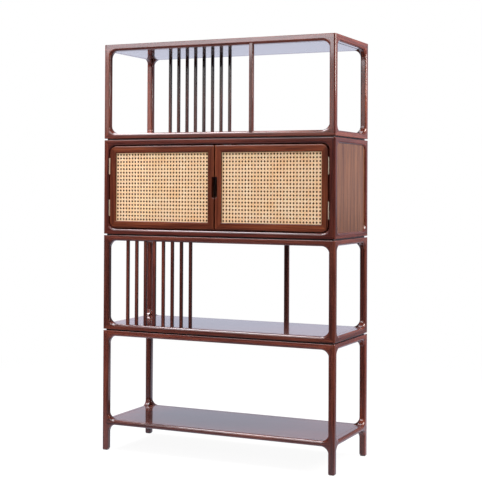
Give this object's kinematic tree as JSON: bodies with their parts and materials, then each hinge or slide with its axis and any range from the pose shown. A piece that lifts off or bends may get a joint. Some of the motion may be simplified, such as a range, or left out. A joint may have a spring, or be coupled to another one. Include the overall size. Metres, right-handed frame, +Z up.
{
  "type": "book cabinet",
  "caption": "Tall open wooden bookcase in stacked tiers with rounded frame corners, a cane-door cupboard, upright slats and recessed spacers.",
  "frame": {"origin": "centre of the footprint, on the floor under the felt pads", "axes": "+Z up, front towards -Y, +X to the right seen from the front"},
  "size_m": [1.1, 0.415, 1.806],
  "materials": {
    "carcass_wood": "glossy red-brown lacquer",
    "shelf_wood": "high-gloss red-brown lacquer",
    "board_wood": "satin lacquer over upright grain",
    "woven_cane": "natural split cane",
    "hinge_metal": "pale satin brass",
    "strike_steel": "zinc plated",
    "catch_plastic": "moulded brown plastic",
    "pad_felt": "dark pressed felt"
  },
  "bodies": {
    "root": {"base_leg_front_left": "carcass_wood", "base_leg_front_right": "carcass_wood", "base_leg_rear_left": "carcass_wood", "base_leg_rear_right": "carcass_wood", "base_shelf_panel": "shelf_wood", "base_shelf_rails": "carcass_wood", "base_top_rails": "carcass_wood", "cabinet_back_panel": "board_wood", "cabinet_bottom_rails": "carcass_wood", "cabinet_floor_panel": "shelf_wood", "cabinet_post_front_left": "carcass_wood", "cabinet_post_front_right": "carcass_wood", "cabinet_post_rear_left": "carcass_wood", "cabinet_post_rear_right": "carcass_wood", "cabinet_side_panel_left": "board_wood", "cabinet_side_panel_right": "board_wood", "cabinet_top_panel": "shelf_wood", "cabinet_top_rails": "carcass_wood", "frame_hinge_leaves": "hinge_metal", "leg_pads": "pad_felt", "lower_bottom_rails": "carcass_wood", "lower_divider": "carcass_wood", "lower_post_front_left": "carcass_wood", "lower_post_front_right": "carcass_wood", "lower_post_rear_left": "carcass_wood", "lower_post_rear_right": "carcass_wood", "lower_shelf_panel": "shelf_wood", "lower_slats": "carcass_wood", "lower_top_rails": "carcass_wood", "magnetic_catches": "catch_plastic", "roof_panel": "shelf_wood", "roof_rails": "carcass_wood", "tier_pegs": "carcass_wood", "tier_spacers": "carcass_wood", "top_bottom_rails": "carcass_wood", "top_divider": "carcass_wood", "top_floor_panel": "shelf_wood", "top_post_front_left": "carcass_wood", "top_post_front_right": "carcass_wood", "top_post_rear_left": "carcass_wood", "top_post_rear_right": "carcass_wood", "top_slats": "carcass_wood"},
    "left_door": {"left_door_cane_beads": "carcass_wood", "left_door_cane_panel": "woven_cane", "left_door_hinge_leaves": "hinge_metal", "left_door_hinge_stile": "carcass_wood", "left_door_meeting_stile": "carcass_wood", "left_door_rails": "carcass_wood", "left_door_strike_plate": "strike_steel"},
    "right_door": {"right_door_cane_beads": "carcass_wood", "right_door_cane_panel": "woven_cane", "right_door_hinge_leaves": "hinge_metal", "right_door_hinge_stile": "carcass_wood", "right_door_meeting_stile": "carcass_wood", "right_door_rails": "carcass_wood", "right_door_strike_plate": "strike_steel"}
  },
  "joints": [
    {"name": "left_door_hinge", "type": "hinge", "parent": "root", "child": "left_door", "pos_m": [-0.52125, -0.2045, 1.171], "axis": [0, 0, -1], "range_deg": [0, 105]},
    {"name": "right_door_hinge", "type": "hinge", "parent": "root", "child": "right_door", "pos_m": [0.52125, -0.2045, 1.171], "axis": [0, 0, 1], "range_deg": [0, 105]}
  ]
}
